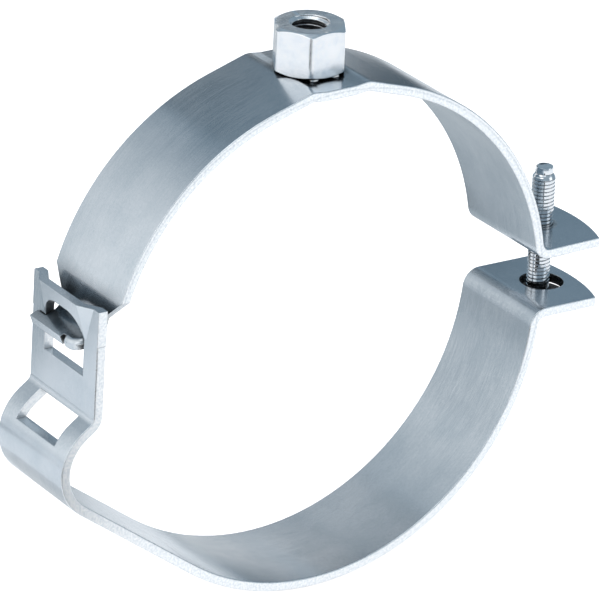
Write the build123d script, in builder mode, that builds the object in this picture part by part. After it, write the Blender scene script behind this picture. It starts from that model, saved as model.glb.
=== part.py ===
from build123d import *
import os
from math import acos, asin, atan2, cos, degrees, hypot, radians, sin, sqrt, tan

# Hinged pipe bracket: two bent steel straps, hooked together on the left and drawn shut by one screw
# on the right. The pipe axis is Y through the origin, +Z points to the connection nut, millimetres.

# Pipe and sheet
pipe_diameter = 125.0
strap_width = 30.0
sheet = 2.5
bend_inside = 2.2
edge_break = 0.2

# Upper strap: flange, nut seat and hook; the hook's reaches are measured outward from the pipe
flange_lower_face = 6.3
flange_past_screw = 10.2
flange_end_sagitta = 2.8
seat_crest_x = 8.0
seat_crest_rise = 0.45
seat_flat_half = 4.5
seat_crest_radius = 3.0
seat_valley_radius = 1.5
taper_start = 21.2
neck_half = 8.6
hook_edge_out = 5.3
hook_edge_top = 10.6
hook_slope = 20.0
hook_sweep = 4.5
hook_end_out = 7.1
hook_wing_y = 12.2
hook_step_out = 5.7
hook_corner_radius = 4.0
hook_nose_rounding = 1.6
hook_nose_run = 2.5
hook_nick_y = -2.6
hook_nick_width = 1.2
hook_nick_depth = 1.2

# Hinge, and how far the clamp as supplied stands open
hinge_out = 4.5
hinge_z = 9.0
closing_swing = 3.75
rest_tilt = 1.3

# Lower strap, in its own frame round its ring centre: flange, ramp, bulge and tab
lower_flange_top = -1.5
lower_flange_extra = 0.8
ramp_angle = 35.3
bulge_inside_radius = 11.0
slant_angle = 36.5
slant_length = 20.24
tab_top = 23.1
flare_start = 14.0
flare_depth = 2.5
flare_root = 0.05
flare_flat_half = 8.6
flare_outer_half = 12.6
flare_tip_half = 9.3
flare_tip_width = 0.4
window_neck_gap = 0.4
window_sill = 4.2
window_crown = 19.4
window_crown_radius = 6.5
lower_window_over_bend = 0.8
lower_window_height = 6.8
screw_hole_diameter = 11.5
screw_hole_shift = 2.0

# Screw, washer, thread ring and nut
screw_diameter = 6.0
screw_clearance = 0.05
screw_tip_z = 24.7
point_diameter = 4.4
point_length = 3.2
point_chamfer = 0.8
thread_lead_in = 0.7
head_diameter = 10.5
head_height = 3.2
head_rim = 1.0
head_rounding = 1.6
socket_flats = 4.0
socket_depth = 2.0
washer_diameter = 16.0
washer_thickness = 1.4
washer_gap = 0.8
washer_clearance = 0.05
ring_diameter = 15.4
ring_thickness = 1.2
ring_edge = 0.3
ring_bend_gap = 0.2
barrel_diameter = 8.0
barrel_clearance = 0.02
nut_flats = 17.0
nut_height = 11.8
nut_bore = 8.5
nut_countersink = 10.6
nut_chamfer_angle = 30.0
nut_chamfer_share = 0.97
nut_lift = 0.44
foot_size = 2.2
foot_x = 3.0
foot_y = 6.6

# Sizes that follow from the ones above
pipe_radius = pipe_diameter / 2
outer_radius = pipe_radius + sheet
half_width = strap_width / 2
window_half = neck_half + window_neck_gap
bend_outside = bend_inside + sheet
hinge_x = -pipe_radius - hinge_out
hook_edge_x = -pipe_radius - hook_edge_out
hook_step_x = -pipe_radius - hook_step_out
hook_end_x = -pipe_radius - hook_end_out
far = 200.0


# A point at an angle in degrees on a circle
def polar(centre, radius, angle):
    return (centre[0] + radius * cos(radians(angle)), centre[1] + radius * sin(radians(angle)))


# A point of the side view, turned about the hinge by an angle in degrees, opening positive
def swung(point, angle):
    x, z = point[0] - hinge_x, point[1] - hinge_z
    c, s = cos(radians(angle)), sin(radians(angle))
    return (hinge_x + x * c + z * s, hinge_z - x * s + z * c)


ring_centre = (0.0, 0.0)
lower_centre = swung(ring_centre, closing_swing)
lower_place = Location((lower_centre[0], 0, lower_centre[1]), (0, rest_tilt, 0))
lower_side = Plane(lower_place * Plane.XZ.location)
lower_plan = Plane(lower_place * Plane.XY.location)
lower_end = Plane(lower_place * Plane.YZ.location)

# Upper strap, side view: the line is the face that bears on the pipe
upper_bend = degrees(asin((flange_lower_face + bend_outside) / (pipe_radius + bend_outside)))
upper_bend_centre = polar(ring_centre, pipe_radius + bend_outside, upper_bend)
screw_x = upper_bend_centre[0] + ring_bend_gap + ring_diameter / 2
flange_reach = screw_x + flange_past_screw
crest_z = pipe_radius + seat_crest_rise
seat_half_angle = degrees(atan2(seat_crest_x, crest_z) + acos(pipe_radius / hypot(seat_crest_x, crest_z)))

# The hook leaves the ring through a sweep and runs out at a slope, its top face through the hook edge
sweep_reach = outer_radius + hook_sweep
edge_x = hook_edge_x - hook_sweep * sin(radians(hook_slope))
edge_z = hook_edge_top + hook_sweep * cos(radians(hook_slope))
along_hook = edge_x * cos(radians(hook_slope)) + edge_z * sin(radians(hook_slope))
back_along = -along_hook - sqrt(along_hook**2 - edge_x**2 - edge_z**2 + sweep_reach**2)
sweep_centre = (edge_x + back_along * cos(radians(hook_slope)), edge_z + back_along * sin(radians(hook_slope)))
sweep_angle = degrees(atan2(sweep_centre[1], sweep_centre[0]))
hook_start = polar(sweep_centre, hook_sweep + sheet, 270 + hook_slope)
hook_end_z = hook_start[1] + (hook_end_x - hook_start[0]) * tan(radians(hook_slope))

hook_tip = (hook_end_x - sheet * sin(radians(hook_slope)), hook_end_z + sheet * cos(radians(hook_slope)))
outward = (cos(radians(hook_slope)), 0, sin(radians(hook_slope)))
hook_face = Plane(
    origin=(hook_tip[0], 0, hook_tip[1]),
    x_dir=outward,
    z_dir=(-sin(radians(hook_slope)), 0, cos(radians(hook_slope))),
)
nose_start = hook_nick_y - hook_nick_width / 2
nose_section = Plane(origin=hook_face.from_local_coords((0, nose_start, 0)), x_dir=outward, z_dir=(0, -1, 0))

with BuildPart() as upper_strap:
    with BuildSketch(Plane.XZ) as upper_profile:
        with BuildLine() as upper_path:
            Line((flange_reach, flange_lower_face), (upper_bend_centre[0], flange_lower_face))
            CenterArc(upper_bend_centre, bend_outside, 270, upper_bend - 90)
            CenterArc(ring_centre, pipe_radius, upper_bend, 90 - seat_half_angle - upper_bend)
            FilletPolyline(
                polar(ring_centre, pipe_radius, 90 - seat_half_angle),
                (seat_crest_x, crest_z),
                (seat_flat_half, pipe_radius),
                (-seat_flat_half, pipe_radius),
                (-seat_crest_x, crest_z),
                polar(ring_centre, pipe_radius, 90 + seat_half_angle),
                radius=[seat_crest_radius, seat_valley_radius + sheet, seat_valley_radius + sheet, seat_crest_radius],
            )
            CenterArc(ring_centre, pipe_radius, 90 + seat_half_angle, sweep_angle - 90 - seat_half_angle)
            CenterArc(sweep_centre, hook_sweep + sheet, sweep_angle - 180, 90 + hook_slope + 180 - sweep_angle - 180)
            Line(hook_start, (hook_end_x, hook_end_z))
            offset(amount=sheet, side=Side.RIGHT, closed=True)
        make_face()
    extrude(amount=half_width, both=True)
    long_edges = upper_strap.edges().group_by(Axis.Y)
    chamfer(long_edges[0] + long_edges[-1], edge_break)

    # Both corners taper at 45 degrees to the hook's neck
    with BuildSketch(Plane.YZ) as corner_tapers:
        for side in (1, -1):
            with BuildLine():
                Polyline(
                    (side * (half_width + sheet), taper_start + sheet),
                    (side * neck_half, taper_start - half_width + neck_half),
                    (side * neck_half, hinge_z - far),
                    (side * (half_width + sheet), hinge_z - far),
                    close=True,
                )
            make_face()
    extrude(amount=hook_step_x, mode=Mode.SUBTRACT)

    # Outside the tab the hook keeps one wing
    with BuildSketch(Plane.XY) as wing_trim:
        with Locations((hook_step_x - far / 2, hook_wing_y + half_width)):
            Rectangle(far, 2 * half_width)
    extrude(amount=taper_start, mode=Mode.SUBTRACT)

    # Its other end is a rounded nose, set off by a nick
    with BuildSketch(hook_face) as nose_trim:
        with Locations((0, hook_nick_y)):
            Rectangle(2 * hook_nick_depth, hook_nick_width)
        with BuildLine():
            Polyline(
                (0, hook_corner_radius - neck_half),
                (-far, hook_corner_radius - neck_half),
                (-far, -far),
                (hook_corner_radius, -far),
                (hook_corner_radius, -neck_half),
            )
            RadiusArc((hook_corner_radius, -neck_half), (0, hook_corner_radius - neck_half), hook_corner_radius)
        make_face()
    extrude(amount=2 * sheet, both=True, mode=Mode.SUBTRACT)

    # The nose is rolled over along its top edge, from the nick round to the neck's side
    with BuildLine(hook_face) as nose_path:
        Line((0, nose_start), (0, hook_corner_radius - neck_half))
        RadiusArc((0, hook_corner_radius - neck_half), (hook_corner_radius, -neck_half), -hook_corner_radius)
        Line((hook_corner_radius, -neck_half), (hook_corner_radius + hook_nose_run, -neck_half))
    with BuildSketch(nose_section) as nose_cutter:
        with BuildLine():
            Polyline(
                (0, -hook_nose_rounding),
                (-edge_break, -hook_nose_rounding),
                (-edge_break, edge_break),
                (hook_nose_rounding, edge_break),
                (hook_nose_rounding, 0),
            )
            RadiusArc((hook_nose_rounding, 0), (0, -hook_nose_rounding), -hook_nose_rounding)
        make_face()
    sweep(path=nose_path.wires()[0], mode=Mode.SUBTRACT)

    # The flange ends in a shallow arc and takes the barrel of the thread ring
    with BuildSketch(Plane.XY) as flange_end:
        with BuildLine():
            ThreePointArc(
                (flange_reach - flange_end_sagitta, -half_width),
                (flange_reach, 0),
                (flange_reach - flange_end_sagitta, half_width),
            )
            Polyline(
                (flange_reach - flange_end_sagitta, half_width),
                (flange_reach - flange_end_sagitta, half_width + sheet),
                (far, half_width + sheet),
                (far, -half_width - sheet),
                (flange_reach - flange_end_sagitta, -half_width - sheet),
                (flange_reach - flange_end_sagitta, -half_width),
            )
        make_face()
        with Locations((screw_x, 0)):
            Circle(barrel_diameter / 2)
    extrude(amount=flange_lower_face + sheet + sheet, mode=Mode.SUBTRACT)

# Lower strap, side view in its own frame: the tab stands outside the upper strap's ring
lower_flange_reach = flange_reach + lower_flange_extra
screw_hole_x = screw_x + screw_hole_shift
tab_inner_x = -outer_radius
lower_bend = degrees(asin((lower_flange_top - bend_outside) / (pipe_radius + bend_outside)))
lower_bend_centre = polar(ring_centre, pipe_radius + bend_outside, lower_bend)
ramp_start = polar(ring_centre, pipe_radius, 270 - ramp_angle)
bulge_x = tab_inner_x - slant_length * cos(radians(slant_angle))
bulge_corner = (bulge_x, ramp_start[1] + (ramp_start[0] - bulge_x) * tan(radians(ramp_angle)))
tab_corner = (tab_inner_x, bulge_corner[1] + slant_length * sin(radians(slant_angle)))
lower_window_middle = tab_corner[1] + lower_window_over_bend - lower_window_height / 2

with BuildPart() as lower_strap:
    with BuildSketch(lower_side) as lower_profile:
        with BuildLine() as lower_path:
            Line((lower_flange_reach, lower_flange_top), (lower_bend_centre[0], lower_flange_top))
            CenterArc(lower_bend_centre, bend_outside, 90, 90 + lower_bend)
            CenterArc(ring_centre, pipe_radius, lower_bend, -90 - ramp_angle - lower_bend)
            FilletPolyline(
                ramp_start,
                bulge_corner,
                tab_corner,
                (tab_inner_x, flare_start),
                radius=[bulge_inside_radius, bend_outside],
            )
            offset(amount=sheet, side=Side.LEFT, closed=True)
        make_face()
    extrude(amount=half_width, both=True)
    long_edges = lower_strap.edges().group_by(Axis.Y)
    chamfer(long_edges[0] + long_edges[-1], edge_break)

    # The middle of the tab leans outward to the top, with two folded cheeks
    for height, depth, cheek_out, cheek_in in (
        (flare_start, flare_root, flare_tip_half + flare_tip_width, flare_tip_half),
        (tab_top, flare_depth, flare_outer_half, flare_flat_half),
    ):
        with BuildSketch(lower_plan.offset(height)):
            with BuildLine():
                outer_face = [
                    (tab_inner_x - sheet, -half_width),
                    (tab_inner_x - sheet, -cheek_out),
                    (tab_inner_x - sheet - depth, -cheek_in),
                    (tab_inner_x - sheet - depth, cheek_in),
                    (tab_inner_x - sheet, cheek_out),
                    (tab_inner_x - sheet, half_width),
                ]
                inner_face = [(x + sheet, y) for x, y in reversed(outer_face)]
                Polyline(*outer_face, *inner_face, close=True)
            make_face()
    loft(ruled=True)

    # Two windows: the upper one, arched, takes the hook; the lower one opens the slanted part
    with BuildSketch(lower_end) as upper_window:
        with Locations((0, (window_sill + window_crown) / 2)):
            Rectangle(2 * window_half, window_crown - window_sill)
        fillet(upper_window.vertices().group_by(Axis.Y)[-1], window_crown_radius)
    extrude(amount=tab_inner_x - bend_outside, mode=Mode.SUBTRACT)
    with BuildSketch(lower_end) as lower_window:
        with Locations((0, lower_window_middle)):
            Rectangle(2 * window_half, lower_window_height)
    extrude(amount=-far / 2, mode=Mode.SUBTRACT)

    # The flange ends like the upper one and has a wide hole, so the screw can stand upright in it
    with BuildSketch(lower_plan) as lower_flange_end:
        with BuildLine():
            ThreePointArc(
                (lower_flange_reach - flange_end_sagitta, -half_width),
                (lower_flange_reach, 0),
                (lower_flange_reach - flange_end_sagitta, half_width),
            )
            Polyline(
                (lower_flange_reach - flange_end_sagitta, half_width),
                (lower_flange_reach - flange_end_sagitta, half_width + sheet),
                (far, half_width + sheet),
                (far, -half_width - sheet),
                (lower_flange_reach - flange_end_sagitta, -half_width - sheet),
                (lower_flange_reach - flange_end_sagitta, -half_width),
            )
        make_face()
        with Locations((screw_hole_x, 0)):
            Circle(screw_hole_diameter / 2)
    extrude(amount=lower_flange_top - 2 * sheet, mode=Mode.SUBTRACT)

# Connection nut: a hexagon with both ends turned to a cone, standing on four weld feet
nut_bottom = outer_radius + nut_lift
nut_top = nut_bottom + nut_height
cone_radius = nut_flats / 2 * nut_chamfer_share
cone_drop = (nut_flats / 2 / cos(radians(30)) - cone_radius) * tan(radians(nut_chamfer_angle))
corner_reach = nut_flats / 2 / cos(radians(30))

with BuildPart() as connection_nut:
    with BuildSketch(Plane.XY.offset(nut_bottom)):
        RegularPolygon(nut_flats / 2, 6, major_radius=False)
    extrude(amount=nut_height)
    with BuildSketch(Plane.XZ) as turned_ends:
        with BuildLine():
            Polyline(
                (0, nut_bottom),
                (cone_radius, nut_bottom),
                (corner_reach, nut_bottom + cone_drop),
                (corner_reach, nut_top - cone_drop),
                (cone_radius, nut_top),
                (0, nut_top),
                close=True,
            )
        make_face()
    revolve(axis=Axis.Z, mode=Mode.INTERSECT)
    with BuildSketch(Plane.XY.offset(outer_radius)):
        with GridLocations(2 * foot_x, 2 * foot_y, 2, 2):
            Rectangle(foot_size, foot_size)
    extrude(amount=2 * nut_lift)
    with Locations((0, 0, nut_top)):
        CounterSinkHole(nut_bore / 2, nut_countersink / 2, counter_sink_angle=90)

# Thread ring: a disc under the upper flange, its barrel pressed into the flange
ring_bottom = flange_lower_face - ring_thickness
with BuildPart() as thread_ring:
    with BuildSketch(Plane.XY.offset(ring_bottom)):
        with Locations((screw_x, 0)):
            Circle(ring_diameter / 2)
    extrude(amount=ring_thickness)
    chamfer(thread_ring.edges().group_by(Axis.Z)[0], ring_edge)
    with BuildSketch(Plane.XY.offset(flange_lower_face)):
        with Locations((screw_x, 0)):
            Circle(barrel_diameter / 2 - barrel_clearance)
    extrude(amount=sheet)
    with Locations((screw_x, 0, flange_lower_face + sheet)):
        Hole(screw_diameter / 2 + screw_clearance)

# Screw: rounded head under the lower flange, shank, lead-in and dog point
hole_centre = lower_place * Location((screw_hole_x, 0, lower_flange_top - sheet))
washer_top = hole_centre.position.Z - washer_gap
washer_bottom = washer_top - washer_thickness
head_bottom = washer_bottom - head_height
point_z = screw_tip_z - point_length

with BuildPart() as screw_washer:
    with BuildSketch(Plane.XY.offset(washer_bottom)):
        with Locations((screw_x, 0)):
            Circle(washer_diameter / 2)
            Circle(screw_diameter / 2 + washer_clearance, mode=Mode.SUBTRACT)
    extrude(amount=washer_thickness)
    chamfer(screw_washer.edges().group_by(Axis.Z)[-1].sort_by(SortBy.RADIUS)[-1], ring_edge)

with BuildPart() as clamp_screw:
    with BuildSketch(Plane.XZ) as screw_profile:
        with BuildLine():
            shank = screw_x + screw_diameter / 2
            point = screw_x + point_diameter / 2
            rim = screw_x + head_diameter / 2
            Polyline(
                (screw_x, screw_tip_z),
                (point - point_chamfer, screw_tip_z),
                (point, screw_tip_z - point_chamfer),
                (point, point_z),
                (shank, point_z - thread_lead_in),
                (shank, washer_bottom),
                (rim, washer_bottom),
                (rim, washer_bottom - head_rim),
            )
            ThreePointArc(
                (rim, washer_bottom - head_rim),
                (rim - head_rounding / 2, head_bottom + head_rounding / 2),
                (rim - head_rounding, head_bottom),
            )
            Polyline((rim - head_rounding, head_bottom), (screw_x, head_bottom), (screw_x, screw_tip_z))
        make_face()
    revolve(axis=Axis((screw_x, 0, 0), (0, 0, 1)))
    with BuildSketch(Plane.XY.offset(head_bottom)):
        with Locations((screw_x, 0)):
            RegularPolygon(socket_flats / 2, 6, major_radius=False)
    extrude(amount=socket_depth, mode=Mode.SUBTRACT)

os.makedirs("parts", exist_ok=True)
for name, piece in (
    ("upper_strap", upper_strap),
    ("lower_strap", lower_strap),
    ("connection_nut", connection_nut),
    ("thread_ring", thread_ring),
    ("clamp_screw", clamp_screw),
    ("screw_washer", screw_washer),
):
    piece.part.label = name
    export_step(piece.part, f"parts/{name}.step")
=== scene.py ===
import math

import bmesh
import bpy
from mathutils import Matrix, Vector


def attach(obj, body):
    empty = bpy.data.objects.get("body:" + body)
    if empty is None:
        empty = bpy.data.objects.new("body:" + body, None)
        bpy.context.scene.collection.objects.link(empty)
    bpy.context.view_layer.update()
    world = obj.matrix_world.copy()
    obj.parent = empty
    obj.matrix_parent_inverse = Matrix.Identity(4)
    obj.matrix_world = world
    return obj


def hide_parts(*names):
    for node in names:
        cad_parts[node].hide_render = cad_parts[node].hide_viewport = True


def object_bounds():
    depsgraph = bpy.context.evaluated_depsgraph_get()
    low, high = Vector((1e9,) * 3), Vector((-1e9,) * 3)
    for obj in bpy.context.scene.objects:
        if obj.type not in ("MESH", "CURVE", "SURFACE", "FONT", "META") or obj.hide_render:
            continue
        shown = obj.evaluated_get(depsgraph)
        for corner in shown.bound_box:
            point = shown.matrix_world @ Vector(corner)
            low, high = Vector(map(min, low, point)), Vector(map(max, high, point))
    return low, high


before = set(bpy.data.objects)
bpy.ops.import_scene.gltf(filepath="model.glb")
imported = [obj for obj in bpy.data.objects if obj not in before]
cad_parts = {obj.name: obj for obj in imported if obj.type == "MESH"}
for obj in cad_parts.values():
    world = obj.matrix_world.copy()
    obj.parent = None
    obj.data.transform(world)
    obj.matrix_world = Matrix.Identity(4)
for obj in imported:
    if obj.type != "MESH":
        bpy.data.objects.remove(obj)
cadLow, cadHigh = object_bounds()
mm = 0.001
sameSpot = 0.00001 * mm  # corners nearer than this are one corner
weldWithin = 0.0001 * mm

# In front, to the left and above, on a long lens, turned a little about its line of sight
cameraLook = {
    "positionMm": (-662.978, -966.362, 528.374),
    "right": (0.833379, -0.551375, 0.038281),
    "up": (0.196678, 0.360572, 0.911760),
    "forward": (0.516524, 0.752312, -0.408936),
    "lensMm": 310.04,
    "sensorMm": 36.0,
}


def makeCamera(look):
    data = bpy.data.cameras.new("studioCamera")
    data.lens = look["lensMm"]
    data.sensor_width = look["sensorMm"]
    data.clip_start = 0.05
    data.clip_end = 50.0
    camera = bpy.data.objects.new("studioCamera", data)
    bpy.context.scene.collection.objects.link(camera)
    turn = Matrix((look["right"], look["up"], [-part for part in look["forward"]])).transposed()
    camera.matrix_world = Matrix.Translation(Vector(look["positionMm"]) * mm) @ turn.to_4x4()
    bpy.context.scene.camera = camera


makeCamera(cameraLook)
print("camera placed")


# Colours are written as sRGB hex, and the shaders take them linear
def linear(hexCode):
    channels = []
    for start in (1, 3, 5):
        c = int(hexCode[start : start + 2], 16) / 255
        channels.append(c / 12.92 if c <= 0.04045 else ((c + 0.055) / 1.055) ** 2.4)
    return (*channels, 1.0)


# Adds one node: settings are its own properties, inputs are numbers or other nodes' sockets
def addNode(tree, kind, inputs=None, **settings):
    node = tree.nodes.new(kind)
    for key, value in settings.items():
        setattr(node, key, value)
    for key, value in (inputs or {}).items():
        if isinstance(value, bpy.types.NodeSocket):
            tree.links.new(value, node.inputs[key])
        else:
            node.inputs[key].default_value = value
    return node


def newMaterial(name):
    material = bpy.data.materials.new(name)
    material.use_nodes = True
    material.node_tree.nodes.clear()
    return material, material.node_tree


def dress(piece, material):
    piece.data.materials.clear()
    piece.data.materials.append(material)


# Joins rings of points, each the same length, into a closed-round skin
def skinRings(build, rings, flip=False):
    rows = [[build.verts.new(point) for point in ring] for ring in rings]
    for lower, upper in zip(rows, rows[1:]):
        for i in range(len(lower)):
            j = (i + 1) % len(lower)
            corners = (lower[i], lower[j], upper[j], upper[i])
            build.faces.new(corners[::-1] if flip else corners)
    return rows


def ringAt(centre, radii, angles, heights):
    return [
        (centre[0] + r * math.cos(a), centre[1] + r * math.sin(a), z)
        for r, a, z in zip(radii, angles, heights)
    ]


def makePiece(name, build, sharpAngle=32.0):
    mesh = bpy.data.meshes.new(name)
    bmesh.ops.remove_doubles(build, verts=build.verts, dist=weldWithin)
    build.normal_update()
    build.to_mesh(mesh)
    build.free()
    mesh.shade_smooth()
    mesh.set_sharp_from_angle(angle=math.radians(sharpAngle))
    piece = bpy.data.objects.new(name, mesh)
    bpy.context.scene.collection.objects.link(piece)
    return piece


# Sweeps one thread profile round an axis. The profile is a list of (share of the pitch, radius),
# and limit(z, r) trims it
def threadSkin(build, centre, profile, pitch, low, high, steps, limit, flip=False):
    turns = math.ceil((high - low) / pitch) + 2
    columns = []
    for step in range(steps + 1):
        angle = 2 * math.pi * step / steps
        column = []
        for turn in range(turns):
            for share, radius in profile:
                z = low + (turn - 1 + share + step / steps) * pitch
                z = min(max(z, low), high)
                r = limit(z, radius)
                column.append((centre[0] + r * math.cos(angle), centre[1] + r * math.sin(angle), z))
        columns.append(column)
    # The last column is the first one, one pitch further along
    rows = [[build.verts.new(point) for point in column] for column in columns]
    for left, right in zip(rows, rows[1:]):
        for i in range(len(left) - 1):
            # Where the thread is trimmed, corners fall together
            kept = []
            for corner in (left[i], right[i], right[i + 1], left[i + 1]):
                if all((corner.co - other.co).length > sameSpot for other in kept):
                    kept.append(corner)
            if len(kept) > 2:
                build.faces.new(kept[::-1] if flip else kept)


noiseRange = (0.3, 0.7)  # nearly all of a noise texture lies between these


# Steel strip, cold rolled, cut and bent, then barrel plated with zinc and given a clear bluish
# passivation. To the eye: a soft satin sheen, a faint grain along the strip, pale blue clouds,
# and whiter sheared edges
strapLook = {
    "paleZinc": "#C8CFD5",
    "blueZinc": "#BDC6CD",
    "edgeZinc": "#FBFCFC",
    "edgePits": "#E9EDF0",
    "shearLine": "#B9C1C8",
    "roughness": (0.17, 0.23),
    "edgeRoughness": (0.27, 0.39),
    "cloudMm": 11.0,  # passivation clouds are a fingertip wide
    "cloudFade": (0.35, 0.65),  # of the noise, from the blue tint to the pale one
    "grainWidthMm": 0.45,  # real rolling lines are finer, drawn as coarse as they need to show
    "grainLengthMm": 22.0,
    "speckMm": 0.6,
    "pitFade": (0.42, 0.6),
    "tintShift": 0.4,  # by grain and specks, as a share of the way between the two tints
    "ringRadiusMm": 62.5,
    "sheetMm": 2.5,
    "edgeFacing": (0.45, 0.8),  # how squarely a face looks along the pipe to count as cut edge
    "lineShare": 0.64,  # of the sheet, from the inner face to the shear line
    "lineMm": (0.1, 0.35),  # from its middle, where it starts to fade and where it is gone
    "lineStrength": 0.7,
    "softEdgeMm": 0.35,
    "grainHeightMm": 0.003,
    "pitHeightMm": 0.007,
    "shadeMm": 6.5,  # reach of the painted shade in corners and slots
    "closedUntil": 0.08,  # of the open sky, below which the painted shade is deepest
    "openFrom": 0.85,
    "openFromRight": 0.85,  # the same, right of the hook end
    "hookEndsMm": (-55.0, -48.0),
    "deepest": 0.05,
    "holeFromMm": 64.0,  # the screw holes lie beyond this, within holeHalfMm of the middle
    "holeHalfMm": 9.5,
}


# Painted shade inside corners, slots and holes: the colour falls off with how closed in a place is
def paintCornerShade(tree, colour, look, openFrom):
    closed = addNode(
        tree, "ShaderNodeAmbientOcclusion", {"Distance": look["shadeMm"] * mm}, samples=8
    )
    share = addNode(
        tree,
        "ShaderNodeMapRange",
        {
            "Value": closed.outputs["AO"],
            "From Min": look["closedUntil"],
            "From Max": openFrom,
            "To Min": look["deepest"],
        },
    )
    shaded = addNode(
        tree, "ShaderNodeVectorMath", {0: colour, "Scale": share.outputs[0]}, operation="SCALE"
    )
    return shaded.outputs[0]


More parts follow.
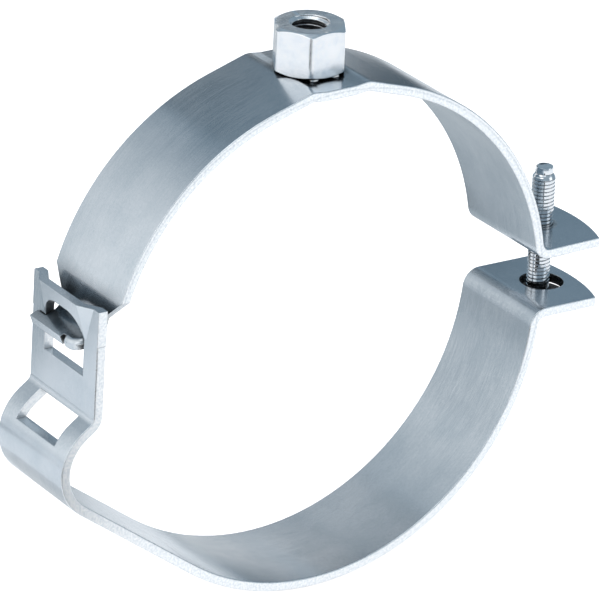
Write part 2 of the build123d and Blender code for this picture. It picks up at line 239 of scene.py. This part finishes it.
def stripMaterial(name, look):
    material, tree = newMaterial(name)
    place = addNode(tree, "ShaderNodeTexCoord")
    apart = addNode(tree, "ShaderNodeSeparateXYZ", {0: place.outputs["Object"]})
    # Places on the strip: along it, across it, and how far out
    aroundPipe = addNode(
        tree, "ShaderNodeMath", {0: apart.outputs[2], 1: apart.outputs[0]}, operation="ARCTAN2"
    )
    along = addNode(
        tree,
        "ShaderNodeMath",
        {0: aroundPipe.outputs[0], 1: look["ringRadiusMm"] * mm},
        operation="MULTIPLY",
    )
    outFlat = addNode(
        tree, "ShaderNodeCombineXYZ", {0: apart.outputs[0], 1: 0.0, 2: apart.outputs[2]}
    )
    reach = addNode(tree, "ShaderNodeVectorMath", {0: outFlat.outputs[0]}, operation="LENGTH")
    strip = addNode(
        tree,
        "ShaderNodeCombineXYZ",
        {0: along.outputs[0], 1: apart.outputs[1], 2: reach.outputs["Value"]},
    )

    # Grain: noise drawn out along the strip
    perLength, perWidth = 1 / (look["grainLengthMm"] * mm), 1 / (look["grainWidthMm"] * mm)
    stretched = addNode(
        tree,
        "ShaderNodeVectorMath",
        {0: strip.outputs[0], 1: (perLength, perWidth, perWidth)},
        operation="MULTIPLY",
    )
    grain = addNode(
        tree,
        "ShaderNodeTexNoise",
        {"Vector": stretched.outputs[0], "Scale": 1.0, "Detail": 3.0, "Roughness": 0.6},
    )
    cloud = addNode(
        tree,
        "ShaderNodeTexNoise",
        {
            "Vector": place.outputs["Object"],
            "Scale": 1 / (look["cloudMm"] * mm),
            "Detail": 4.0,
            "Roughness": 0.55,
        },
    )
    speck = addNode(
        tree,
        "ShaderNodeTexNoise",
        {
            "Vector": place.outputs["Object"],
            "Scale": 1 / (look["speckMm"] * mm),
            "Detail": 2.0,
            "Roughness": 0.5,
        },
    )

    # Faces that look along the pipe are the sheared edges
    facing = addNode(tree, "ShaderNodeSeparateXYZ", {0: place.outputs["Normal"]})
    facingSize = addNode(tree, "ShaderNodeMath", {0: facing.outputs[1]}, operation="ABSOLUTE")
    cut = addNode(
        tree,
        "ShaderNodeMapRange",
        {
            "Value": facingSize.outputs[0],
            "From Min": look["edgeFacing"][0],
            "From Max": look["edgeFacing"][1],
        },
    )
    # but not the walls of the screw holes, which are punched clean
    sideSize = addNode(tree, "ShaderNodeMath", {0: apart.outputs[1]}, operation="ABSOLUTE")
    inMiddle = addNode(
        tree,
        "ShaderNodeMath",
        {0: sideSize.outputs[0], 1: look["holeHalfMm"] * mm},
        operation="LESS_THAN",
    )
    onFlange = addNode(
        tree,
        "ShaderNodeMath",
        {0: apart.outputs[0], 1: look["holeFromMm"] * mm},
        operation="GREATER_THAN",
    )
    inHole = addNode(
        tree,
        "ShaderNodeMath",
        {0: inMiddle.outputs[0], 1: onFlange.outputs[0]},
        operation="MULTIPLY",
    )
    outside = addNode(tree, "ShaderNodeMath", {0: 1.0, 1: inHole.outputs[0]}, operation="SUBTRACT")
    edge = addNode(
        tree, "ShaderNodeMath", {0: cut.outputs[0], 1: outside.outputs[0]}, operation="MULTIPLY"
    )

    # The shear line runs along the cut face, a third of the sheet from its outer side
    lineAt = (look["ringRadiusMm"] + look["sheetMm"] * look["lineShare"]) * mm
    offLine = addNode(
        tree, "ShaderNodeMath", {0: reach.outputs["Value"], 1: lineAt}, operation="SUBTRACT"
    )
    offSize = addNode(tree, "ShaderNodeMath", {0: offLine.outputs[0]}, operation="ABSOLUTE")
    line = addNode(
        tree,
        "ShaderNodeMapRange",
        {
            "Value": offSize.outputs[0],
            "From Min": look["lineMm"][0] * mm,
            "From Max": look["lineMm"][1] * mm,
            "To Min": look["lineStrength"],
            "To Max": 0.0,
        },
    )
    lineBroken = addNode(
        tree, "ShaderNodeMath", {0: line.outputs[0], 1: speck.outputs[0]}, operation="MULTIPLY"
    )

    clouds = addNode(
        tree,
        "ShaderNodeMapRange",
        {
            "Value": cloud.outputs[0],
            "From Min": look["cloudFade"][0],
            "From Max": look["cloudFade"][1],
        },
    )
    # Clouds, grain and specks all shift the plating a little between its two tints.
    # On a Mix node, sockets 2 and 3 are its numbers, 6 and 7 its colours
    grained = addNode(
        tree, "ShaderNodeMath", {0: grain.outputs[0], 1: speck.outputs[0]}, operation="ADD"
    )
    finer = addNode(
        tree,
        "ShaderNodeMapRange",
        {
            "Value": grained.outputs[0],
            "From Min": 0.75,
            "From Max": 1.25,
            "To Min": -look["tintShift"],
            "To Max": look["tintShift"],
        },
    )
    tint = addNode(
        tree, "ShaderNodeMath", {0: clouds.outputs[0], 1: finer.outputs[0]}, operation="ADD"
    )
    faceColour = addNode(
        tree,
        "ShaderNodeMix",
        {0: tint.outputs[0], 6: linear(look["blueZinc"]), 7: linear(look["paleZinc"])},
        data_type="RGBA",
        clamp_factor=False,
    )
    pits = addNode(
        tree,
        "ShaderNodeMapRange",
        {
            "Value": speck.outputs[0],
            "From Min": look["pitFade"][0],
            "From Max": look["pitFade"][1],
        },
    )
    tornColour = addNode(
        tree,
        "ShaderNodeMix",
        {0: pits.outputs[0], 6: linear(look["edgeZinc"]), 7: linear(look["edgePits"])},
        data_type="RGBA",
    )
    cutColour = addNode(
        tree,
        "ShaderNodeMix",
        {0: lineBroken.outputs[0], 6: tornColour.outputs[2], 7: linear(look["shearLine"])},
        data_type="RGBA",
    )
    openColour = addNode(
        tree,
        "ShaderNodeMix",
        {0: edge.outputs[0], 6: faceColour.outputs[2], 7: cutColour.outputs[2]},
        data_type="RGBA",
    )
    # The painted shade in corners is deeper at the hook end than on the rest of its strap
    openFrom = addNode(
        tree,
        "ShaderNodeMapRange",
        {
            "Value": apart.outputs[0],
            "From Min": look["hookEndsMm"][0] * mm,
            "From Max": look["hookEndsMm"][1] * mm,
            "To Min": look["openFrom"],
            "To Max": look["openFromRight"],
        },
    )
    colour = paintCornerShade(tree, openColour.outputs[2], look, openFrom.outputs[0])

    grainRough = addNode(
        tree,
        "ShaderNodeMapRange",
        {
            "Value": grain.outputs[0],
            "From Min": noiseRange[0],
            "From Max": noiseRange[1],
            "To Min": look["roughness"][0],
            "To Max": look["roughness"][1],
        },
    )
    speckRough = addNode(
        tree,
        "ShaderNodeMapRange",
        {
            "Value": speck.outputs[0],
            "From Min": noiseRange[0],
            "From Max": noiseRange[1],
            "To Min": look["edgeRoughness"][0],
            "To Max": look["edgeRoughness"][1],
        },
    )
    rough = addNode(
        tree,
        "ShaderNodeMix",
        {0: edge.outputs[0], 2: grainRough.outputs[0], 3: speckRough.outputs[0]},
        data_type="FLOAT",
    )
    pitHeight = addNode(
        tree,
        "ShaderNodeMath",
        {0: speck.outputs[0], 1: look["pitHeightMm"] / look["grainHeightMm"]},
        operation="MULTIPLY",
    )
    height = addNode(
        tree,
        "ShaderNodeMix",
        {0: edge.outputs[0], 2: grain.outputs[0], 3: pitHeight.outputs[0]},
        data_type="FLOAT",
    )
    soft = addNode(tree, "ShaderNodeBevel", {"Radius": look["softEdgeMm"] * mm}, samples=4)
    bump = addNode(
        tree,
        "ShaderNodeBump",
        {
            "Height": height.outputs[0],
            "Distance": look["grainHeightMm"] * mm,
            "Strength": 1.0,
            "Normal": soft.outputs[0],
        },
    )
    shader = addNode(
        tree,
        "ShaderNodeBsdfPrincipled",
        {
            "Base Color": colour,
            "Metallic": 1.0,
            "Roughness": rough.outputs[0],
            "Normal": bump.outputs[0],
        },
    )
    addNode(tree, "ShaderNodeOutputMaterial", {"Surface": shader.outputs[0]})
    return material


# Steel turned or cold formed, then plated as the strip is.
# To the eye: a closer, brighter surface with fine rings round its axis, and small knocks
turnedLook = {
    "paleZinc": "#F0F1F2",
    "blueZinc": "#E0E4E8",
    "roughness": (0.18, 0.27),
    "cloudMm": 2.5,
    "cloudFade": (0.35, 0.65),
    "ringMm": 0.35,  # tool marks, drawn coarser than the real feed so that they show
    "markHeightMm": 0.0015,
    "dentMm": 1.1,
    "dentHeightMm": 0.005,
    "softEdgeMm": 0.2,
    "shadeMm": 10.0,
    "closedUntil": 0.08,
    "openFrom": 0.7,
    "deepest": 0.03,
}


def turnedMaterial(name, look, axisMm):
    material, tree = newMaterial(name)
    place = addNode(tree, "ShaderNodeTexCoord")
    centred = addNode(
        tree,
        "ShaderNodeVectorMath",
        {0: place.outputs["Object"], 1: (axisMm[0] * mm, axisMm[1] * mm, 0.0)},
        operation="SUBTRACT",
    )
    apart = addNode(tree, "ShaderNodeSeparateXYZ", {0: centred.outputs[0]})
    flat = addNode(tree, "ShaderNodeCombineXYZ", {0: apart.outputs[0], 1: apart.outputs[1], 2: 0.0})
    reach = addNode(tree, "ShaderNodeVectorMath", {0: flat.outputs[0]}, operation="LENGTH")
    rings = addNode(
        tree, "ShaderNodeCombineXYZ", {0: reach.outputs["Value"], 1: apart.outputs[2], 2: 0.0}
    )
    mark = addNode(
        tree,
        "ShaderNodeTexNoise",
        {
            "Vector": rings.outputs[0],
            "Scale": 1 / (look["ringMm"] * mm),
            "Detail": 2.0,
            "Roughness": 0.6,
        },
    )
    cloud = addNode(
        tree,
        "ShaderNodeTexNoise",
        {
            "Vector": place.outputs["Object"],
            "Scale": 1 / (look["cloudMm"] * mm),
            "Detail": 5.0,
            "Roughness": 0.6,
        },
    )
    # Barrel plating leaves small knocks, which are deeper than the tool marks
    dent = addNode(
        tree,
        "ShaderNodeTexNoise",
        {
            "Vector": place.outputs["Object"],
            "Scale": 1 / (look["dentMm"] * mm),
            "Detail": 2.0,
            "Roughness": 0.5,
        },
    )
    dentHeight = addNode(
        tree,
        "ShaderNodeMath",
        {0: dent.outputs[0], 1: look["dentHeightMm"] / look["markHeightMm"], 2: mark.outputs[0]},
        operation="MULTIPLY_ADD",
    )
    clouds = addNode(
        tree,
        "ShaderNodeMapRange",
        {
            "Value": cloud.outputs[0],
            "From Min": look["cloudFade"][0],
            "From Max": look["cloudFade"][1],
        },
    )
    openColour = addNode(
        tree,
        "ShaderNodeMix",
        {0: clouds.outputs[0], 6: linear(look["blueZinc"]), 7: linear(look["paleZinc"])},
        data_type="RGBA",
    )
    # Painted shade in corners and holes, as on the strip
    colour = paintCornerShade(tree, openColour.outputs[2], look, look["openFrom"])
    rough = addNode(
        tree,
        "ShaderNodeMapRange",
        {
            "Value": cloud.outputs[0],
            "From Min": noiseRange[0],
            "From Max": noiseRange[1],
            "To Min": look["roughness"][0],
            "To Max": look["roughness"][1],
        },
    )
    soft = addNode(tree, "ShaderNodeBevel", {"Radius": look["softEdgeMm"] * mm}, samples=6)
    bump = addNode(
        tree,
        "ShaderNodeBump",
        {
            "Height": dentHeight.outputs[0],
            "Distance": look["markHeightMm"] * mm,
            "Strength": 1.0,
            "Normal": soft.outputs[0],
        },
    )
    shader = addNode(
        tree,
        "ShaderNodeBsdfPrincipled",
        {
            "Base Color": colour,
            "Metallic": 1.0,
            "Roughness": rough.outputs[0],
            "Normal": bump.outputs[0],
        },
    )
    addNode(tree, "ShaderNodeOutputMaterial", {"Surface": shader.outputs[0]})
    return material


# The upper strap's hook sits deep in the lower one's window, so its corners get the deepest painted
# shade
hookLook = {
    **strapLook,
    "shadeMm": 8.0,
    "openFrom": 0.98,
    "openFromRight": 0.7,
    "closedUntil": 0.32,
    "deepest": 0.02,
}
dress(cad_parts["upper_strap"], stripMaterial("zincPlatedRolledStripUpper", hookLook))
dress(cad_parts["lower_strap"], stripMaterial("zincPlatedRolledStripLower", strapLook))
print("straps dressed")

screwLook = {
    "axisMm": (74.194, 0.0),
    "majorMm": 5.95,
    "minorMm": 5.35,  # shallower than a real thread, whose grooves would show as black at this size
    "pitchMm": 1.0,
    "underHeadMm": -12.288,
    "threadTopMm": 22.9,
    "leadInMm": 0.9,
    "pointMm": 4.65,
    "pointChamferMm": 0.4,
    "pointStepMm": 0.1,
    "tipMm": 24.7,
    "tipDishMm": 0.02,
    "centreMm": 0.3,  # radius of the small flats that close the tip and the socket
    "headMm": 10.5,
    "headHeightMm": 3.2,
    "headRimMm": 1.0,
    "headRimBreakMm": 0.25,
    "headRoundingMm": 1.6,
    "headFlatMm": 0.9,
    "socketFlatsMm": 4.0,
    "socketBreakMm": 0.12,
    "socketDepthMm": 2.0,
    "socketConeMm": 0.5,
    "columns": 48,
}


def makeScrew(look):
    build = bmesh.new()
    centre = [c * mm for c in look["axisMm"]]
    crest, root = look["majorMm"] / 2 * mm, look["minorMm"] / 2 * mm
    top, low = look["threadTopMm"] * mm, look["underHeadMm"] * mm
    point, taper = look["pointMm"] / 2 * mm, look["leadInMm"] * mm

    def leadIn(z, r):
        return min(r, point + (crest - point) * min(1.0, (top - z) / taper))

    profile = [(0.0, root), (0.08, root), (0.24, crest), (0.84, crest)]
    threadSkin(build, centre, profile, look["pitchMm"] * mm, low, top, look["columns"], leadIn)

    # Dog point above the thread, its corner eased in two steps and its tip very slightly dished
    count = look["columns"]
    angles = [2 * math.pi * i / count for i in range(count)]
    tip, cut, step = look["tipMm"] * mm, look["pointChamferMm"] * mm, look["pointStepMm"] * mm
    middle = look["centreMm"] * mm
    outline = [
        (point - step, top),
        (point, top + step),
        (point, tip - cut),
        (point - 0.35 * cut, tip - 0.25 * cut),
        (point - cut, tip),
        (middle, tip - look["tipDishMm"] * mm),
    ]
    rows = skinRings(build, [ringAt(centre, [r] * count, angles, [z] * count) for r, z in outline])
    build.faces.new(rows[-1])

    # Rounded head below, with a hexagon socket in its underside
    head, foot = look["headMm"] / 2 * mm, low - look["headHeightMm"] * mm
    rim, rounding = look["headRimMm"] * mm, look["headRoundingMm"] * mm
    rimBreak = look["headRimBreakMm"] * mm
    outline = [(root * 0.9, low), (head - rimBreak, low), (head, low - rimBreak), (head, low - rim)]
    for degrees in range(15, 91, 15):
        turn = math.radians(degrees)
        drop = (foot - (low - rim)) * math.sin(turn)
        outline.append((head - rounding * (1 - math.cos(turn)), low - rim + drop))
    outline.append((head - rounding - look["headFlatMm"] * mm, foot))
    rings = [ringAt(centre, [r] * count, angles, [z] * count) for r, z in outline]
    flat = look["socketFlatsMm"] / 2 * mm
    sixth = math.pi / 3
    hexagon = [flat / math.cos((a % sixth) - sixth / 2) for a in angles]
    lead = look["socketBreakMm"] * mm
    rings.append(ringAt(centre, [r + lead for r in hexagon], angles, [foot] * count))
    rings.append(ringAt(centre, hexagon, angles, [foot + lead] * count))
    depth = foot + look["socketDepthMm"] * mm
    rings.append(ringAt(centre, hexagon, angles, [depth] * count))
    deepest = depth + look["socketConeMm"] * mm
    rings.append(ringAt(centre, [middle] * count, angles, [deepest] * count))
    rows = skinRings(build, rings, flip=True)
    build.faces.new(rows[-1])
    bmesh.ops.recalc_face_normals(build, faces=build.faces)
    return makePiece("screw_m6_threaded", build)


# A rolled thread is smooth, and too fine for a softened edge
threadLook = {
    "roughness": (0.09, 0.18),
    "softEdgeMm": 0.02,
    "shadeMm": 6.0,
    "dentHeightMm": 0.0005,
}

screw = makeScrew(screwLook)
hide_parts("clamp_screw")
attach(screw, "screw")
rolledLook = {**turnedLook, **threadLook}
dress(screw, turnedMaterial("zincPlatedRolledThread", rolledLook, screwLook["axisMm"]))
print("screw cut:", len(screw.data.polygons), "faces")

nutLook = {
    "flatsMm": 17.0,
    "heightMm": 11.8,
    "bottomMm": 65.44,
    "coneShare": 0.97,
    "coneAngle": 30.0,
    "cornerRadiusMm": 1.6,
    "boreMm": 8.5,
    "threadRootMm": 9.9,
    "pitchMm": 1.5,
    "countersinkMm": 10.1,
    "threadColumns": 64,
    "footSizeMm": 2.2,
    "footPlacesMm": (3.0, 6.6),
    "footRingsMm": ((-0.02, 1.12), (0.12, 1.05), (0.3, 1.0), (0.7, 0.97)),  # (height, swell)
    "footColumns": 24,
    "footPower": 6,  # 2 is round, and higher is squarer
    "seatMm": 65.0,
}


def makeNut(look):
    build = bmesh.new()
    half = look["flatsMm"] / 2 * mm
    rounding = look["cornerRadiusMm"] * mm
    low, top = look["bottomMm"] * mm, (look["bottomMm"] + look["heightMm"]) * mm
    cone = half * look["coneShare"]
    slope = math.tan(math.radians(look["coneAngle"]))
    # One sixth of the outline, from flat to flat round a corner, as (degrees from the corner,
    # reach). The flats begin past the corner's arc
    arcCentre = (half - rounding) / math.cos(math.radians(30))
    flatSteps = [(turn, half / math.cos(math.radians(30 - turn))) for turn in (6, 9, 13, 18, 24)]
    arcSteps = []
    for turn in (0, 7.5, 15, 22.5, 30):
        along = arcCentre + rounding * math.cos(math.radians(turn))
        aside = rounding * math.sin(math.radians(turn))
        arcSteps.append((math.degrees(math.atan2(aside, along)), math.hypot(along, aside)))
    oneSide = arcSteps + flatSteps
    sixth = [(-turn, reach) for turn, reach in oneSide[:0:-1]] + oneSide + [(30, half)]
    angles, reaches = [], []
    for corner in range(6):
        angles += [math.radians(60 * corner + turn) for turn, _ in sixth]
        reaches += [reach for _, reach in sixth]
    count = len(angles)
    bore = look["countersinkMm"] / 2 * mm
    drops = [max(0.0, reach - cone) * slope for reach in reaches]
    coneReach = [min(reach, cone) for reach in reaches]
    rings = [ringAt((0, 0), [bore] * count, angles, [low] * count)]
    rings.append(ringAt((0, 0), coneReach, angles, [low] * count))
    for share in (0.0, 0.1, 0.3, 0.5, 0.7, 0.9, 1.0):
        heights = [(low + drop) * (1 - share) + (top - drop) * share for drop in drops]
        rings.append(ringAt((0, 0), reaches, angles, heights))
    rings.append(ringAt((0, 0), coneReach, angles, [top] * count))
    rings.append(ringAt((0, 0), [bore] * count, angles, [top] * count))
    skinRings(build, rings)

    # Thread in the bore, opened by a countersink at both ends
    inner, outer = look["boreMm"] / 2 * mm, look["threadRootMm"] / 2 * mm

    def countersink(z, r):
        return max(r, bore - (top - z), bore - (z - low))

    profile = [(0.0, inner), (0.125, inner), (0.4375, outer), (0.5625, outer), (0.875, inner)]
    pitch, columns = look["pitchMm"] * mm, look["threadColumns"]
    threadSkin(build, (0, 0), profile, pitch, low, top, columns, countersink, flip=True)

    # Four weld feet, squashed a little as the weld sank them
    size, seat = look["footSizeMm"] / 2 * mm, look["seatMm"] * mm
    footX, footY = (place * mm for place in look["footPlacesMm"])
    count, power = look["footColumns"], look["footPower"]
    for x in (-footX, footX):
        for y in (-footY, footY):
            rings = []
            for height, share in look["footRingsMm"]:
                ring = []
                for i in range(count):
                    turn = 2 * math.pi * i / count
                    c, s = math.cos(turn), math.sin(turn)
                    swell = share / (abs(c) ** power + abs(s) ** power) ** (1 / power)
                    ring.append((x + size * swell * c, y + size * swell * s, seat + height * mm))
                rings.append(ring)
            skinRings(build, rings)
    return makePiece("nut_m10_threaded", build, sharpAngle=24.0)


nut = makeNut(nutLook)
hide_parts("connection_nut")
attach(nut, "upper_half")
dress(nut, turnedMaterial("zincPlatedHexagonBar", turnedLook, (0.0, 0.0)))
# The ring and the washer sit against the flanges, where they get deep painted shade
hiddenLook = {**turnedLook, "closedUntil": 0.4, "openFrom": 0.9, "deepest": 0.01}
for turned in ("thread_ring", "screw_washer"):
    material = turnedMaterial("zincPlatedTurned_" + turned, hiddenLook, screwLook["axisMm"])
    dress(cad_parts[turned], material)
print("nut tapped:", len(nut.data.polygons), "faces")

# White acrylic light table, lit from below a little, in a pale and slate blue room. The cards are
# out of the camera's sight, for the zinc to mirror. The arcs stand upright behind the bracket,
# round the pipe's axis: pale ones for the straps, black and slate ones for the bends and for the
# outside right of the nut. The flats lie on the table: grey and pale ones for the tab and the ramp,
# black ones for the nut's corner and the screw
studioLook = {
    "floorColour": "#F4F5F6",
    "floorGlowColour": "#FFF8F4",
    "floorGlow": 0.42,
    "floorGlowSeen": 0.85,  # as the camera sees it, burnt out to white
    "floorSizeM": 9.0,
    "floorRoughness": (0.75, 0.85),
    "floorCloudsPerM": 3.0,
    "floorDropMm": 5.0,  # the bracket hangs clear of it, also with its lower half swung open
    "skyDark": "#798B98",
    "skyPale": "#FCFDFE",
    "skyFront": "#8896A1",
    "skySeen": "#FFFFFF",
    "skyStrength": 1.3,
    "skyPaleToDark": (-0.66, -0.14),  # from left to right, as the x of a direction
    "skyFrontToSide": (-0.55, -0.15),  # from the front to the sides, as its y
    "lights": {
        # name: (place in m, aimed at in m, width m, height m, watts)
        "overhead": ((-0.25, -0.25, 1.15), (0.0, 0.0, 0.0), 0.9, 0.9, 3.5),
        "frontRight": ((0.85, -1.05, 0.45), (0.0, 0.0, 0.0), 0.7, 0.7, 1.5),
        "frontLeft": ((-1.1, -0.55, 0.55), (0.0, 0.0, 0.0), 0.7, 0.7, 1.0),
    },
    "arcBehindMm": 400.0,
    "arcs": {
        # name: (inner radius mm, outer radius mm, from degrees, to degrees, colour)
        "paleLowArcCard": (298.0, 345.0, -30.0, 58.0, "#FAFBFC"),
        "paleTopArcCard": (262.0, 340.0, 58.0, 95.0, "#E8ECEF"),
        "paleArcCard": (262.0, 340.0, 95.0, 150.0, "#D4DBE0"),
        "paleEndArcCard": (250.0, 340.0, 150.0, 205.0, "#C4CCD2"),
        "paleWingCard": (340.0, 372.0, 102.0, 205.0, "#D2D9DE"),
        "blackArcCard": (342.0, 374.0, 38.0, 100.0, "#22272B"),
        "blackBendArcCard": (374.0, 388.0, 47.0, 64.0, "#22272B"),
        "slateEndArcCard": (356.0, 408.0, -4.0, 28.0, "#46525C"),
    },
    "flats": {
        # name: (corners in mm, colour)
        "greyFootCard": (
            (
                (-230.0, 190.0),
                (-60.0, 95.0),
                (60.0, 85.0),
                (190.0, 125.0),
                (190.0, 400.0),
                (-330.0, 400.0),
            ),
            "#C2CAD0",
        ),
        "greyFarCard": (
            ((480.0, 560.0), (800.0, 500.0), (4400.0, 3300.0), (4400.0, 4400.0), (3000.0, 4400.0)),
            "#BCC5CC",
        ),
        "brightNearCard": (
            ((-100.0, 18.0), (-30.0, 18.0), (-30.0, 60.0), (-100.0, 75.0)),
            "#E2E6EA",
        ),
        "blackFrontCard": (
            (
                (-50.0, -45.0),
                (-10.0, -135.0),
                (-15.0, -200.0),
                (-90.0, -330.0),
                (-330.0, -330.0),
                (-330.0, -100.0),
            ),
            "#101214",
        ),
        "blackBackCard": (
            ((-50.0, 122.0), (35.0, 128.0), (45.0, 205.0), (-62.0, 205.0)),
            "#2A3137",
        ),
    },
    "cardLiftMm": 0.6,
}


# A card that glows evenly, out of the camera's sight and throwing no shadow
def makeCard(name, build, colour):
    card = makePiece(name, build)
    material, tree = newMaterial(name + "Paper")
    glow = addNode(tree, "ShaderNodeEmission", {"Color": linear(colour), "Strength": 1.0})
    addNode(tree, "ShaderNodeOutputMaterial", {"Surface": glow.outputs[0]})
    dress(card, material)
    card.visible_camera = False
    card.visible_diffuse = False
    card.visible_shadow = False


def flatCard(name, corners, height, colour):
    build = bmesh.new()
    build.faces.new([build.verts.new((x * mm, y * mm, height)) for x, y in corners])
    makeCard(name, build, colour)


def arcCard(name, behind, inner, outer, start, end, colour):
    build = bmesh.new()
    steps = 48
    rows = []
    for radius in (inner * mm, outer * mm):
        row = []
        for step in range(steps + 1):
            turn = math.radians(start + (end - start) * step / steps)
            row.append(build.verts.new((radius * math.cos(turn), behind, radius * math.sin(turn))))
        rows.append(row)
    for i in range(steps):
        build.faces.new((rows[0][i], rows[0][i + 1], rows[1][i + 1], rows[1][i]))
    makeCard(name, build, colour)


def makeStudio(look):
    floorZ = cadLow.z - look["floorDropMm"] * mm
    build = bmesh.new()
    size = look["floorSizeM"] / 2
    # A finer grid near the part keeps the floor's own shading even
    steps = (-1.0, -0.4, -0.15, -0.05, 0.0, 0.05, 0.15, 0.4, 1.0)
    grid = [[build.verts.new((x * size, y * size, floorZ)) for x in steps] for y in steps]
    for i in range(len(steps) - 1):
        for j in range(len(steps) - 1):
            build.faces.new((grid[i][j], grid[i][j + 1], grid[i + 1][j + 1], grid[i + 1][j]))
    floor = makePiece("lightTable", build)
    material, tree = newMaterial("whiteAcrylicLightTable")
    place = addNode(tree, "ShaderNodeTexCoord")
    cloud = addNode(
        tree,
        "ShaderNodeTexNoise",
        {"Vector": place.outputs["Object"], "Scale": look["floorCloudsPerM"], "Detail": 2.0},
    )
    rough = addNode(
        tree,
        "ShaderNodeMapRange",
        {
            "Value": cloud.outputs[0],
            "From Min": noiseRange[0],
            "From Max": noiseRange[1],
            "To Min": look["floorRoughness"][0],
            "To Max": look["floorRoughness"][1],
        },
    )
    path = addNode(tree, "ShaderNodeLightPath")
    glow = addNode(
        tree,
        "ShaderNodeMapRange",
        {
            "Value": path.outputs["Is Camera Ray"],
            "To Min": look["floorGlow"],
            "To Max": look["floorGlowSeen"],
        },
    )
    shader = addNode(
        tree,
        "ShaderNodeBsdfPrincipled",
        {
            "Base Color": linear(look["floorColour"]),
            "Roughness": rough.outputs[0],
            "Specular IOR Level": 0.1,
            "Emission Color": linear(look["floorGlowColour"]),
            "Emission Strength": glow.outputs[0],
        },
    )
    addNode(tree, "ShaderNodeOutputMaterial", {"Surface": shader.outputs[0]})
    dress(floor, material)

    lift = look["cardLiftMm"] * mm
    for name, (inner, outer, start, end, colour) in look["arcs"].items():
        arcCard(name, look["arcBehindMm"] * mm, inner, outer, start, end, colour)
    # Each lies a little above the one before, so that none shares a plane with another
    for order, (name, (corners, colour)) in enumerate(look["flats"].items(), 1):
        flatCard(name, corners, floorZ + lift * order, colour)

    for name, (place, aim, width, height, watts) in look["lights"].items():
        lamp = bpy.data.lights.new(name, "AREA")
        lamp.shape = "RECTANGLE"
        lamp.size = width
        lamp.size_y = height
        lamp.energy = watts
        panel = bpy.data.objects.new(name, lamp)
        panel.location = place
        panel.rotation_mode = "QUATERNION"
        panel.rotation_quaternion = (Vector(aim) - Vector(place)).to_track_quat("-Z", "Y")
        panel.visible_camera = False
        bpy.context.scene.collection.objects.link(panel)

    # Room: pale to the left, slate blue to the right, grey blue in front
    world = bpy.data.worlds.new("studioRoom")
    world.use_nodes = True
    tree = world.node_tree
    tree.nodes.clear()
    place = addNode(tree, "ShaderNodeTexCoord")
    apart = addNode(tree, "ShaderNodeSeparateXYZ", {0: place.outputs["Generated"]})
    side = addNode(
        tree,
        "ShaderNodeMapRange",
        {
            "Value": apart.outputs[0],
            "From Min": look["skyPaleToDark"][0],
            "From Max": look["skyPaleToDark"][1],
            "To Min": 1.0,
            "To Max": 0.0,
        },
    )
    behind = addNode(
        tree,
        "ShaderNodeMix",
        {0: side.outputs[0], 6: linear(look["skyDark"]), 7: linear(look["skyPale"])},
        data_type="RGBA",
    )
    front = addNode(
        tree,
        "ShaderNodeMapRange",
        {
            "Value": apart.outputs[1],
            "From Min": look["skyFrontToSide"][0],
            "From Max": look["skyFrontToSide"][1],
            "To Min": 1.0,
            "To Max": 0.0,
        },
    )
    room = addNode(
        tree,
        "ShaderNodeMix",
        {0: front.outputs[0], 6: behind.outputs[2], 7: linear(look["skyFront"])},
        data_type="RGBA",
    )
    # Behind the bracket the room shows as plain white
    path = addNode(tree, "ShaderNodeLightPath")
    seen = addNode(
        tree,
        "ShaderNodeMix",
        {0: path.outputs["Is Camera Ray"], 6: room.outputs[2], 7: linear(look["skySeen"])},
        data_type="RGBA",
    )
    glow = addNode(
        tree, "ShaderNodeBackground", {"Color": seen.outputs[2], "Strength": look["skyStrength"]}
    )
    addNode(tree, "ShaderNodeOutputWorld", {"Surface": glow.outputs[0]})
    bpy.context.scene.world = world
    bpy.context.scene.view_settings.view_transform = "Standard"


makeStudio(studioLook)
print("studio lit")
